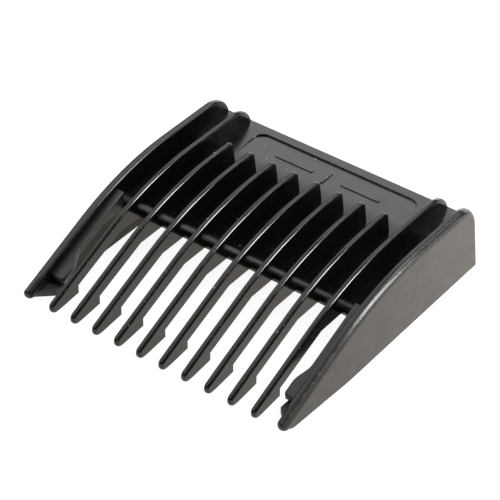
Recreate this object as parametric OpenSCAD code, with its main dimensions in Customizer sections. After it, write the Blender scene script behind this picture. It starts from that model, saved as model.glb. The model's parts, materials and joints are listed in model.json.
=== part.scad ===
// Guard comb for a hair clipper: a one-piece moulding with ten comb teeth
// between two cheeks. Millimetres. X runs across the comb, +Y to its rear
// edge, +Z up. It stands on the flat lower edges of its cheeks, and the
// origin is in the middle of that footprint. Outlines are drawn with their
// first number as the distance from the tooth tips and their second as the
// height over the surface that the comb stands on.

/* [Clipper blade] */
// Width of the clipper blade that the comb clips on to
blade_w = 46.4; // [45.6:0.2:47.2]
// Play between the blade and each cheek
blade_play = 0.8; // [0.5:0.1:1.2]
// Height of the blade's flat top under the web
blade_top = 7.2; // [6.8:0.1:7.6]
// Angle of the blade's ground front bevel
bevel_angle = 22.1; // [21:0.2:23.4]
// Distance from the tooth tips to the blade's cutting edge
blade_front = 6.3; // [5.6:0.1:7]
// Height of the blade's cutting edge
blade_edge_h = 3.0; // [2.8:0.1:3.3]
// Thickness of the blade's heel, held between deck and catch
heel_t = 3.4; // [3.2:0.1:4]

/* [Cheeks] */
// Length of the cheeks along the surface they stand on
cheek_len = 53.2; // [50:0.4:57]
// Thickness of each cheek
cheek_t = 1.8; // [1.7:0.1:2.2]
// Height of the cheeks at their flat crown
cheek_h = 13.4; // [13.2:0.1:14.4]
// Radius along the cheeks' outer edges
cheek_outer_r = 1.15; // [0.6:0.05:1.2]
// Radius along the cheeks' inner edges
cheek_inner_r = 0.45; // [0.2:0.05:0.5]
// Height of the lower edge at the tip, where it lifts off the surface
cheek_tip_lift = 1.3; // [0.8:0.1:1.6]
// Distance from the tip to where the lower edge becomes flat
cheek_foot_y = 16.8; // [12:0.4:20]
// Lean of the rear edges from upright
rear_lean = 9.4; // [4:0.2:14]
// Radius of the rounded upper rear corners
heel_r = 4.8; // [3:0.2:5.4]

/* [Teeth] */
// Distance from one tooth to the next
tooth_pitch = 4.4; // [4.1:0.05:4.5]
// Thickness of a tooth
tooth_t = 1.02; // [0.8:0.02:1.3]
// Radius along a tooth's upper edges
tooth_edge_r = 0.36; // [0.1:0.02:0.38]
// Height of the flat crown of the teeth
tooth_h = 13.2; // [12.8:0.1:13.8]
// Slope of the teeth from the tips up to the crown
tooth_slope = 23.4; // [22.4:0.2:24.4]
// Radius that joins the slope and the flat crown
crown_r = 53; // [48:1:58]
// Distance from the tips to where the crown becomes flat
crown_y = 35.3; // [34.6:0.1:36.4]
// Distance from the tips to the rear end of the eight short teeth
short_len = 41.4; // [39:0.1:42]
// Radius of the short teeth's upper rear corner
short_corner_r = 1.1; // [0.6:0.1:2]
// Height of a tooth's underside at the tip
tooth_tip_lift = 0.75; // [0.4:0.05:1]
// Height of a tooth's underside at the rear of its hook
hook_lift = 1.27; // [1.1:0.05:1.5]
// Radius of the upper corner of the blunt tips of teeth and cheeks
tip_top_r = 0.8; // [0.5:0.05:1]
// Radius of the lower corner of these tips
tip_low_r = 0.4; // [0.2:0.05:0.5]

/* [Deck] */
// Distance from the tips to the front edge of the web
web_front = 21.8; // [20:0.2:24]
// Thickness of the web's front edge
web_edge_t = 0.6; // [0.5:0.05:0.9]
// Radius of the web's down-turned front lip
lip_r = 6; // [5:0.5:8]
// Slope of that lip at the front edge
lip_angle = 26; // [20:1:30]
// Rise of the deck toward the rear
deck_angle = 2.2; // [1.4:0.2:2.6]
// Run of the raised rim in front of the rear edge
rim_run = 8.6; // [7:0.2:9.6]
// Rise of that rim over the label recess at the rear edge
rim_h = 0.46; // [0.3:0.02:0.6]
// Width of the label recess
label_w = 32.4; // [28:0.4:34]
// Width of the rim left behind the label recess
label_back = 1.75; // [1.2:0.05:2.4]
// Corner radius of the label recess
label_r = 2; // [1.4:0.2:4]

/* [Rear wall] */
// Thickness of the rear wall
wall_t = 1.4; // [1.2:0.1:1.8]
// Height of the lower edge of the rear wall
wall_low = 1.6; // [1.2:0.1:2.2]
// Width of the catch that holds the heel of the blade
catch_w = 30; // [20:1:40]
// Reach of the catch under the blade
catch_reach = 1.1; // [0.8:0.1:1.4]
// Thickness of the catch's edge
catch_edge_t = 0.6; // [0.4:0.1:0.8]

/* [Lugs] */
// Reach of the blade lugs, as a share of the room beside the outer teeth
lug_share = 0.65; // [0.54:0.01:0.78]
// Reach of the narrow ledge behind each lug, as a share of that room
ledge_share = 0.35; // [0.27:0.01:0.48]
// Distance from the tips to the lug's front edge
lug_front = 5.3; // [5:0.1:6.2]
// Size of the cut-back corner at the lug's front
lug_corner = 0.4; // [0.2:0.1:0.6]
// Distance from the tips to where the lug starts to narrow
lug_wide_end = 7.4; // [7:0.2:9]
// Distance from the tips to where the lug has become the ledge
lug_narrow = 11; // [10:0.2:13]
// Thickness of the lugs and ledges over the blade's bevel
lug_t = 0.95; // [0.8:0.05:1.2]
// Reach of the tip feet, as a share of the room beside the outer teeth
foot_share = 0.51; // [0.43:0.01:0.7]
// Height of the top of the tip feet
foot_top = 2.1; // [1.9:0.1:2.4]
// Length of the feet's straight inner edge
foot_edge = 2.4; // [1.6:0.1:3]

/* [Hidden] */
$fn = 64;

plastic = [0.07, 0.07, 0.075];
tooth_count = 10;
inner_x = blade_w / 2 + blade_play;
cheek_x = inner_x + cheek_t / 2;
function tooth_x(i) = (i - (tooth_count + 1) / 2) * tooth_pitch;
// Room between an outer tooth and the cheek beside it, which the lugs share
side_room = inner_x - tooth_x(tooth_count) - tooth_t / 2;
lug_w = lug_share * side_room;
ledge_w = ledge_share * side_room;
foot_w = foot_share * side_room;
// Longer and deeper than anything on the comb, for cutting shapes
far = 80;
deep = 18;
// Overlap of outlines that are drawn in one piece
overlap = 0.5;
// How far a round corner stands proud of the straight edges that run into it,
// so that they meet it in a clean line
tip_proud = 0.01;
// Width of the teeth's rounded section before their flat sides are cut, so
// that the rounding meets them in a clean line
tooth_full_w = tooth_t + 2 * tip_proud;

// Height of the teeth's thin underside, which rests on the blade's bevel
function bevel_z(y) = blade_edge_h + (y - blade_front) * tan(bevel_angle);
bevel_end = blade_front + (blade_top - blade_edge_h) / tan(bevel_angle);

// Straight slope of a member whose crown is h high
slope_end = crown_y - crown_r * sin(tooth_slope);
function slope_z(y, h) = h - crown_r * (1 - cos(tooth_slope))
                           - (slope_end - y) * tan(tooth_slope);

// Rear edge line that the cheeks, the deck and the rear wall share
function rear_y(z) = cheek_len - z * tan(rear_lean);

// Web and deck: an arc from the front edge to the deck's straight top
lip_y = web_front + lip_r * (sin(lip_angle) - sin(deck_angle));
lip_z = blade_top + web_edge_t + lip_r * (cos(deck_angle) - cos(lip_angle));
function deck_z(y) = lip_z + (y - lip_y) * tan(deck_angle);
function under_z(y) = blade_top + (y - lip_y) * tan(deck_angle);
rim_rear = rear_y(deck_z(cheek_len) + rim_h);
rim_y = rim_rear - rim_run;

// Heights of the centres of a blunt tip's two rounded corners, on a member
// h high and over an underside that starts at lift and rises by angle a
function tip_top_z(h) = slope_z(0, h)
                        - tip_top_r * (1 / cos(tooth_slope) - tan(tooth_slope));
function tip_low_z(lift, a) = lift + tip_low_r * (tan(a) + 1 / cos(a));

// --- shared shapes ------------------------------------------------------

// Cross-section of a thin member with its top at 0, rounded by e1 on the
// left and e2 on the right
module edge_section(w, e1, e2) {
    translate([-w / 2, -deep]) square([e1, deep - e1]);
    translate([w / 2 - e2, -deep]) square([e2, deep - e2]);
    translate([-w / 2 + e1, -deep]) square([w - e1 - e2, deep]);
    translate([-w / 2 + e1, -e1]) circle(r = e1);
    translate([w / 2 - e2, -e2]) circle(r = e2);
}

// Everything under a crown line h high: slope, arc and flat, all with the
// same rounded section
module crown(w, e1, e2, h) {
    translate([0, crown_y, h - crown_r]) {
        rotate([tooth_slope, 0, 0])
            translate([0, 0, crown_r])
                rotate([90, 0, 0])
                    linear_extrude(height = crown_y)
                        edge_section(w, e1, e2);
        rotate([180, -90, 0])
            rotate_extrude(angle = tooth_slope, $fn = 180)
                translate([crown_r, 0])
                    mirror([0, 1, 0]) rotate([0, 0, -90])
                        edge_section(w, e1, e2);
    }
    translate([0, far, h])
        rotate([90, 0, 0])
            linear_extrude(height = far - crown_y)
                edge_section(w, e1, e2);
}

// Centre of the rounded upper rear corner of a member
function heel_z(h, r) = h - r;
function heel_y(h, r) = rear_y(h - r) - r / cos(rear_lean);

// Everything in front of the leaning rear edge, rounded like the crown
module heel(w, e1, e2, h, r) {
    translate([-w / 2, -far / 2, -deep])
        cube([w, far / 2 + heel_y(h, r), 2 * deep]);
    translate([0, heel_y(h, r), heel_z(h, r)]) {
        rotate([180, -90, 0])
            rotate_extrude(angle = 360)
                intersection() {
                    translate([r, 0])
                        mirror([0, 1, 0]) rotate([0, 0, -90])
                            edge_section(w, e1, e2);
                    translate([0, -w / 2]) square([r, w]);
                }
        rotate([rear_lean - 90, 0, 0])
            translate([0, deep, r])
                rotate([90, 0, 0])
                    linear_extrude(height = deep)
                        edge_section(w, e1, e2);
    }
}

// Stands an outline upright, w wide across the comb
module upright(w) {
    rotate([90, 0, 90])
        translate([0, 0, -w / 2])
            linear_extrude(height = w) children();
}

// Plan view of a member with a round front end
module plan_front(w) {
    r = w / 2 + tip_proud;
    linear_extrude(height = 2 * deep, center = true) {
        translate([-w, r]) square([2 * w, far]);
        translate([0, r]) circle(r = r);
    }
}

// Outline of a member's blunt tip, its underside and all that is above it
module member_side(h, lift, a, underside) {
    top_z = tip_top_z(h);
    low_z = tip_low_z(lift, a);
    top_y = tip_top_r * (1 - sin(tooth_slope));
    translate([tip_top_r, top_z]) circle(r = tip_top_r + tip_proud);
    translate([tip_low_r, low_z]) circle(r = tip_low_r + tip_proud);
    polygon(concat([[0, low_z], [tip_low_r, low_z],
                    [tip_low_r * (1 + sin(a)), low_z - tip_low_r * cos(a)]],
                   underside,
                   [[far, deep], [top_y, deep],
                    [top_y, top_z + tip_top_r * cos(tooth_slope)],
                    [tip_top_r, top_z], [0, top_z]]));
}

// Upper surface of the web and deck, filled down to far below
module deck_fill() {
    translate([web_front, -deep])
        square([lip_y - web_front + overlap, deep + blade_top]);
    intersection() {
        translate([lip_y + lip_r * sin(deck_angle),
                   lip_z - lip_r * cos(deck_angle)]) circle(r = lip_r);
        translate([web_front, 0])
            square([lip_y - web_front + overlap, deep]);
    }
    polygon([[lip_y, -deep], [far, -deep], [far, deck_z(far)],
             [lip_y, lip_z]]);
}

// The same with the rising rim along the rear
module rim_fill() {
    polygon([[rim_y, deck_z(rim_y) - overlap],
             [far, deck_z(far) - overlap],
             [far, deck_z(far) + rim_h * (far - rim_y) / rim_run],
             [rim_y, deck_z(rim_y)]]);
}

// Everything under the deck
module under_fill() {
    polygon([[-far, -far], [far, -far], [far, under_z(far)],
             [lip_y, blade_top], [-far, blade_top]]);
}

// Everything in front of the rear edge line
module rear_fill() {
    polygon([[-far, -deep], [rear_y(-deep), -deep], [rear_y(deep), deep],
             [-far, deep]]);
}

// --- pieces -------------------------------------------------------------

module cheek() {
    lift_angle = -atan(cheek_tip_lift / cheek_foot_y);
    intersection() {
        upright(cheek_t)
            member_side(cheek_h, cheek_tip_lift, lift_angle,
                        [[cheek_foot_y, 0], [far, 0]]);
        crown(cheek_t, cheek_inner_r, cheek_outer_r, cheek_h);
        heel(cheek_t, cheek_inner_r, cheek_outer_r, cheek_h, heel_r);
        plan_front(cheek_t);
    }
}

module tooth_side() {
    a = atan((hook_lift - tooth_tip_lift) / blade_front);
    difference() {
        member_side(tooth_h, tooth_tip_lift, a,
                    [[blade_front, hook_lift],
                     [blade_front, blade_edge_h],
                     [bevel_end, blade_top], [far, blade_top]]);
        deck_fill();
    }
}

// One of the eight short teeth, which end on the deck in front of the
// label recess
module short_tooth() {
    lean_y = short_len + deck_z(short_len) * tan(rear_lean);
    corner_z = tooth_h - short_corner_r;
    corner_y = lean_y - corner_z * tan(rear_lean)
               - short_corner_r / cos(rear_lean);
    intersection() {
        upright(tooth_t)
            intersection() {
                tooth_side();
                union() {
                    translate([corner_y, corner_z])
                        circle(r = short_corner_r);
                    polygon([[-far, -deep],
                             [lean_y + deep * tan(rear_lean), -deep],
                             [corner_y + short_corner_r * cos(rear_lean),
                              corner_z + short_corner_r * sin(rear_lean)],
                             [corner_y, corner_z],
                             [corner_y, deep], [-far, deep]]);
                }
            }
        crown(tooth_full_w, tooth_edge_r, tooth_edge_r, tooth_h);
        plan_front(tooth_t);
    }
}

// One of the two outer teeth, which run on to the rear edge as guide ribs
module guide_rib() {
    intersection() {
        upright(tooth_t)
            difference() {
                tooth_side();
                rim_fill();
            }
        crown(tooth_full_w, tooth_edge_r, tooth_edge_r, tooth_h);
        heel(tooth_full_w, tooth_edge_r, tooth_edge_r, tooth_h, heel_r);
        plan_front(tooth_t);
    }
}

module web_plate() {
    upright(2 * inner_x)
        intersection() {
            difference() {
                deck_fill();
                under_fill();
            }
            square([short_len, deep]);
        }
}

module label_deck() {
    difference() {
        upright(2 * inner_x)
            intersection() {
                difference() {
                    union() {
                        deck_fill();
                        rim_fill();
                    }
                    under_fill();
                }
                rear_fill();
                translate([short_len, 0]) square([far, deep]);
            }
        label_recess();
    }
}

// Recess with round rear corners, open at the front where its floor runs
// out level with the web
module label_recess() {
    back = rim_rear - label_back;
    intersection() {
        upright(label_w)
            difference() {
                translate([rim_y - overlap, 0]) square([far, deep]);
                deck_fill();
            }
        linear_extrude(height = deep) {
            translate([-label_w / 2, 0])
                square([label_w, back - label_r]);
            translate([-label_w / 2 + label_r, 0])
                square([label_w - 2 * label_r, back]);
            for (s = [-1, 1])
                translate([s * (label_w / 2 - label_r), back - label_r])
                    circle(r = label_r);
        }
    }
}

function wall_y(z) = rear_y(z) - wall_t / cos(rear_lean);

module rear_wall() {
    upright(2 * inner_x)
        intersection() {
            polygon([[wall_y(wall_low), wall_low],
                     [rear_y(wall_low), wall_low],
                     [rear_y(deep), deep], [wall_y(deep), deep]]);
            under_fill();
        }
}

// Catch along the wall's inner face, under the heel of the blade
module rear_catch() {
    top = blade_top - heel_t;
    nose = wall_y(top) - catch_reach;
    upright(catch_w)
        polygon([[wall_y(wall_low), wall_low], [wall_y(top), top],
                 [nose, top], [nose, top - catch_edge_t]]);
}

// The lugs' top is parallel to the straight slope of the teeth
function lug_top_z(y) = blade_edge_h + lug_t
                        + (y - blade_front) * tan(tooth_slope);

// Lug on a cheek's inner face over the corner of the blade, drawn on the
// right cheek. Behind it, it narrows in a soft curve to a ledge.
module blade_lug() {
    steps = 12;
    intersection() {
        linear_extrude(height = deep)
            polygon([[inner_x, lug_front], [inner_x, web_front],
                     [inner_x - ledge_w, web_front],
                     for (i = [0:steps])
                         [inner_x - ledge_w - (lug_w - ledge_w)
                              * (1 - cos(180 * i / steps)) / 2,
                          lug_narrow - (lug_narrow - lug_wide_end)
                              * i / steps],
                     [inner_x - lug_w, lug_front + lug_corner],
                     [inner_x - lug_w + lug_corner, lug_front]]);
        translate([inner_x, 0, 0])
            upright(far)
                polygon([[lug_front, bevel_z(lug_front)],
                         [bevel_end, blade_top], [web_front, blade_top],
                         [web_front, lug_top_z(web_front)],
                         [lug_front, lug_top_z(lug_front)]]);
    }
}

// Foot at a cheek's tip, in front of the corner of the blade
module tip_foot() {
    start = cheek_t / 2;
    intersection() {
        linear_extrude(height = deep)
            polygon([[inner_x, start], [inner_x, blade_front],
                     [inner_x - foot_w, blade_front],
                     [inner_x - foot_w, blade_front - foot_edge]]);
        translate([inner_x, 0, 0])
            upright(far)
                polygon([[0, cheek_tip_lift], [cheek_foot_y, 0],
                         [cheek_foot_y, foot_top], [0, foot_top]]);
    }
}

// Puts a piece in its place on the comb
module place(x = 0) {
    color(plastic) translate([x, -cheek_len / 2, 0]) children();
}

// Puts the mirror image of a right-hand piece on the comb's left
module place_left(x = 0) {
    mirror([1, 0, 0]) place(x) children();
}

place_left(cheek_x) cheek();  // left_cheek
place(cheek_x) cheek();  // right_cheek
place(tooth_x(1)) guide_rib();  // guide_rib_left
place(tooth_x(2)) short_tooth();  // comb_tooth_2
place(tooth_x(3)) short_tooth();  // comb_tooth_3
place(tooth_x(4)) short_tooth();  // comb_tooth_4
place(tooth_x(5)) short_tooth();  // comb_tooth_5
place(tooth_x(6)) short_tooth();  // comb_tooth_6
place(tooth_x(7)) short_tooth();  // comb_tooth_7
place(tooth_x(8)) short_tooth();  // comb_tooth_8
place(tooth_x(9)) short_tooth();  // comb_tooth_9
place(tooth_x(10)) guide_rib();  // guide_rib_right
place() web_plate();
place() label_deck();
place() rear_wall();
place() rear_catch();
place_left() blade_lug();  // left_blade_lug
place() blade_lug();  // right_blade_lug
place_left() tip_foot();  // left_tip_foot
place() tip_foot();  // right_tip_foot
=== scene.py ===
"""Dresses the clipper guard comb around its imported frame.

The file is laid out as an add-on. Its sizes and finishes are properties, each
group of pieces has an operator, and the sidebar lists them in the order in
which they are made. Lengths are in metres. Side outlines are drawn with their
first number as the distance from the tooth tips and their second as the
height over the surface that the comb stands on.
"""

import json
import math

import bpy
from bpy.props import (FloatProperty, FloatVectorProperty, PointerProperty,
                       StringProperty)
from mathutils import Matrix, Vector

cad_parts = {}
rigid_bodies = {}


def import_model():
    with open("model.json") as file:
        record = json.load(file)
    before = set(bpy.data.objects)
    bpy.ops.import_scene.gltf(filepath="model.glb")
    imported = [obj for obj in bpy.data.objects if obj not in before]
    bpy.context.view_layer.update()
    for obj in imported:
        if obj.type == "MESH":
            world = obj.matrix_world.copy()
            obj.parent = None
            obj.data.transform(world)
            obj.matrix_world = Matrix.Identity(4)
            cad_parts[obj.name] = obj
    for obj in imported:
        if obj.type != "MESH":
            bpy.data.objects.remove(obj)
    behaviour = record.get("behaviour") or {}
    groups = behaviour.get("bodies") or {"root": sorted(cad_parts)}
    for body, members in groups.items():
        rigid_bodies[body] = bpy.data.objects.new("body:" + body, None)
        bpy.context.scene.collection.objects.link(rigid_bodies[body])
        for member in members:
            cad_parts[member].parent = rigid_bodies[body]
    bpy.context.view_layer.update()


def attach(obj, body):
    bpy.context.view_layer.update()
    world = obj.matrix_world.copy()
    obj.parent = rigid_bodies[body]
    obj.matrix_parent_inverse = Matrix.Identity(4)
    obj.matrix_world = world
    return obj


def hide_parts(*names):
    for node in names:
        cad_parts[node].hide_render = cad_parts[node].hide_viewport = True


bl_info = {
    "name": "Clipper Guard Comb",
    "version": (1, 0, 0),
    "blender": (4, 5, 0),
    "location": "3D Viewport > Sidebar > Guard Comb",
    "description": "Models and finishes a one-piece guard comb for a hair "
                   "clipper",
    "category": "Add Mesh",
}

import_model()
PLAIN = (1.0, 1.0, 1.0)
COOL = (0.95, 1.0, 0.99)
WARM = (1.02, 0.95, 0.85)


# --- properties -----------------------------------------------------------

def length(name, description, millimetres):
    """A length property whose default is given in millimetres."""
    return FloatProperty(name=name, description=description,
                         default=millimetres * 0.001, min=0.0,
                         precision=5, unit="LENGTH", subtype="DISTANCE")


def angle(name, description, degrees):
    """An angle property whose default is given in degrees."""
    return FloatProperty(name=name, description=description,
                         default=math.radians(degrees), unit="ROTATION",
                         subtype="ANGLE")


def share(name, description, default):
    """A plain number from 0 to 1."""
    return FloatProperty(name=name, description=description, default=default,
                         min=0.0, max=1.0, subtype="FACTOR")


def colour(name, description, default):
    """A linear colour property."""
    return FloatVectorProperty(name=name, description=description, size=3,
                               default=default, min=0.0, max=1.0,
                               subtype="COLOR")


class CombSizes(bpy.types.PropertyGroup):
    """Sizes of the comb."""
    comb_length: length("Length", "Length of the cheeks", 53.2)
    inner_x: length("Half room", "From the middle to a cheek's inner face",
                    24.0)
    cheek_t: length("Cheek thickness", "Thickness of each cheek", 1.8)
    cheek_h: length("Cheek height", "Height of the cheeks' crown", 13.4)
    cheek_outer_r: length("Outer edge", "Radius of the outer edges", 1.15)
    cheek_inner_r: length("Inner edge", "Radius of the inner edges", 0.45)
    cheek_tip_lift: length("Cheek tip lift", "Height of the cheek's lower "
                           "edge at the tip", 1.3)
    cheek_foot_y: length("Foot start", "From the tip to the flat lower edge",
                         16.8)
    nub_y: length("Nub place", "From the tips to the parting nub", 8.4)
    nub_r: length("Nub radius", "Radius of the parting nub", 0.3)
    nub_edge_r: length("Nub edge", "Radius of the nub's edge", 0.08)
    low_edge_r: length("Low edge", "Radius of the cheeks' lower edges",
                       0.16)
    rear_lean: angle("Rear lean", "Lean of the rear edges", 9.4)
    heel_r: length("Heel radius", "Radius of the upper rear corners", 4.8)
    tooth_pitch: length("Pitch", "From one tooth to the next", 4.4)
    tooth_t: length("Tooth thickness", "Thickness of a tooth", 1.02)
    tooth_edge_r: length("Tooth edge", "Radius of a tooth's upper edges",
                         0.38)
    tooth_h: length("Tooth height", "Height of the teeth's crown", 13.2)
    tooth_slope: angle("Slope", "Slope of the teeth", 23.4)
    crown_r: length("Crown radius", "Radius between slope and crown", 53.0)
    crown_y: length("Crown start", "From the tips to the flat crown", 35.3)
    short_len: length("Short teeth", "From the tips to the short teeth's "
                      "rear end", 41.4)
    short_corner_r: length("Tooth corner", "Radius of the short teeth's "
                           "upper rear corner", 1.1)
    tooth_tip_lift: length("Tooth tip lift", "Height of a tooth's underside "
                           "at the tip", 0.75)
    hook_lift: length("Hook lift", "Height of a tooth's underside at the "
                      "rear of its hook", 1.27)
    tip_top_r: length("Tip top", "Radius of a blunt tip's upper corner", 0.8)
    tip_low_r: length("Tip bottom", "Radius of a blunt tip's lower corner",
                      0.55)
    fine_edge_r: length("Fine edge", "Radius of the edges of a tooth's "
                        "underside", 0.06)
    blade_top: length("Blade top", "Height of the blade's flat top", 7.2)
    bevel_angle: angle("Bevel", "Angle of the blade's ground bevel", 22.1)
    blade_front: length("Blade front", "From the tips to the cutting edge",
                        6.3)
    blade_edge_h: length("Edge height", "Height of the cutting edge", 3.0)
    heel_t: length("Blade heel", "Thickness of the blade's heel", 3.4)
    web_front: length("Web front", "From the tips to the web", 21.8)
    web_edge_t: length("Web edge", "Thickness of the web's front edge", 0.6)
    web_edge_r: length("Web edge radius", "Radius of the web's front edge",
                       0.18)
    lip_r: length("Lip radius", "Radius of the web's front lip", 6.0)
    lip_angle: angle("Lip angle", "Slope of the lip at its front", 26.0)
    deck_angle: angle("Deck angle", "Rise of the deck to the rear", 2.2)
    rim_run: length("Rim run", "Run of the raised rim", 8.6)
    rim_h: length("Rim height", "Rise of the rim over the recess", 0.46)
    rim_edge_r: length("Rim edge", "Radius of the rim's rear edge", 0.4)
    label_edge_r: length("Label edge", "Radius of the recess's edges", 0.12)
    label_w: length("Label width", "Width of the label recess", 32.4)
    label_back: length("Label back", "Width of the rim behind it", 1.75)
    label_r: length("Label corner", "Corner radius of the recess", 2.0)
    wall_t: length("Wall", "Thickness of the rear wall", 1.4)
    wall_low: length("Wall low", "Height of the wall's lower edge", 1.6)
    wall_out_r: length("Wall outside", "Radius of the wall's outer lower "
                       "edge", 0.4)
    wall_in_r: length("Wall inside", "Radius of its inner lower edge", 0.2)
    catch_w: length("Catch width", "Width of the rear catch", 30.0)
    catch_reach: length("Catch reach", "Reach of the catch", 1.1)
    catch_edge_t: length("Catch edge", "Thickness of the catch's edge", 0.6)
    catch_nose_r: length("Catch nose", "Radius of the catch's two long "
                         "edges", 0.18)
    catch_end_r: length("Catch end", "Radius of the edges at its ends", 0.2)
    lug_w: length("Lug width", "Reach of the blade lugs", 2.3985)
    ledge_w: length("Ledge width", "Reach of the ledge behind them", 1.2915)
    lug_front: length("Lug front", "From the tips to the lugs", 5.3)
    lug_corner: length("Lug corner", "Cut-back corner of the lugs", 0.4)
    lug_wide_end: length("Lug end", "Where the lug starts to narrow", 7.4)
    lug_narrow: length("Ledge start", "Where the lug is the ledge", 11.0)
    lug_t: length("Lug thickness", "Thickness over the bevel", 0.95)
    lug_edge_r: length("Lug edge", "Radius of the lugs' upper edges", 0.28)
    foot_w: length("Foot width", "Reach of the tip feet", 1.88)
    foot_top: length("Foot top", "Height of the tip feet", 2.1)
    foot_edge: length("Foot edge", "Length of their straight edge", 2.4)
    foot_edge_r: length("Foot edge radius", "Radius of the feet's edges",
                        0.18)
    mark_text: StringProperty(name="Size mark", default="1",
                              description="Plain number on the deck")
    mark_h: length("Mark height", "Height of the number", 3.0)
    mark_half_t: length("Mark thickness", "Half the thickness of the "
                        "number", 0.09)
    mark_edge_r: length("Mark edge", "Radius of the number's edges", 0.03)
    mark_y: length("Mark place", "From the tips to the number", 46.4)
    bar_w: length("Bar width", "Width of the bar on each side", 7.6)
    bar_t: length("Bar thickness", "Thickness of the bars", 0.7)
    bar_x: length("Bar place", "From the number to a bar's middle", 6.6)


class CombFinish(bpy.types.PropertyGroup):
    """Colours and finishes of the comb."""
    black: colour("Gloss black", "Colour of the polished moulding",
                  (0.0016, 0.0015, 0.0017))
    satin_black: colour("Satin black", "Colour of the satin moulding",
                        (0.0120, 0.0112, 0.0106))
    dust: colour("Dust", "Colour of the dust specks", (0.34, 0.33, 0.32))
    tooth_rough: share("Tooth roughness", "Roughness of the teeth", 0.12)
    web_rough: share("Web roughness", "Roughness of the web", 0.11)
    deck_rough: share("Deck roughness", "Roughness of the deck", 0.20)
    cheek_rough: share("Cheek roughness", "Roughness of the cheeks", 0.23)
    lug_rough: share("Lug roughness", "Roughness of the lugs", 0.42)


class StageSettings(bpy.types.PropertyGroup):
    """Camera and light."""
    camera_place: FloatVectorProperty(
        name="Camera", description="Place of the camera", size=3,
        default=(0.15791, -0.21236, 0.21753), subtype="TRANSLATION",
        unit="LENGTH")
    azimuth: angle("Azimuth", "Camera's turn about the comb", 36.7676)
    elevation: angle("Elevation", "Camera's height as an angle", 38.5421)
    roll: angle("Roll", "Camera's roll", 0.5579)
    lens: FloatProperty(name="Lens", description="Focal length",
                        default=153.63, unit="CAMERA")
    world: share("World", "Plain level of the surroundings", 0.18)
    floor_albedo: share("Floor", "How pale the floor is under the lamps",
                        0.25)
    floor_glow: share("Floor glow", "White level that the camera sees",
                      0.92)


# --- outlines -------------------------------------------------------------

class Outline:
    """A closed outline, built point by point. Each edge keeps the radii that
    round it on its near and far side."""

    def __init__(self):
        """Starts without points."""
        self.points = []
        self.radii = []

    def to(self, a, b, radii=(0.0, 0.0)):
        """Adds a point. The radii belong to the edge that leaves it."""
        self.points.append((a, b))
        self.radii.append(radii)
        return self

    def arc(self, centre, radius, start, end, steps, radii=(0.0, 0.0),
            leave=None):
        """Adds an arc, its angles in radians from the first axis."""
        for i in range(steps + 1):
            turn = start + (end - start) * i / steps
            last = i == steps and leave is not None
            self.to(centre[0] + radius * math.cos(turn),
                    centre[1] + radius * math.sin(turn),
                    leave if last else radii)
        return self

    def corner(self, before, at, after, radius, steps, radii=(0.0, 0.0),
               leave=None):
        """Adds a rounded corner at a point between two others."""
        here = Vector(at)
        back = (Vector(before) - here).normalized()
        on = (Vector(after) - here).normalized()
        half = back.angle(on) / 2
        centre = here + (back + on).normalized() * radius / math.sin(half)
        first = here + back * radius / math.tan(half) - centre
        last = here + on * radius / math.tan(half) - centre
        start = math.atan2(first.y, first.x)
        turn = math.atan2(last.y, last.x) - start
        turn = (turn + math.pi) % (2 * math.pi) - math.pi
        return self.arc(centre, radius, start, start + turn, steps, radii,
                        leave)


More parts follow.
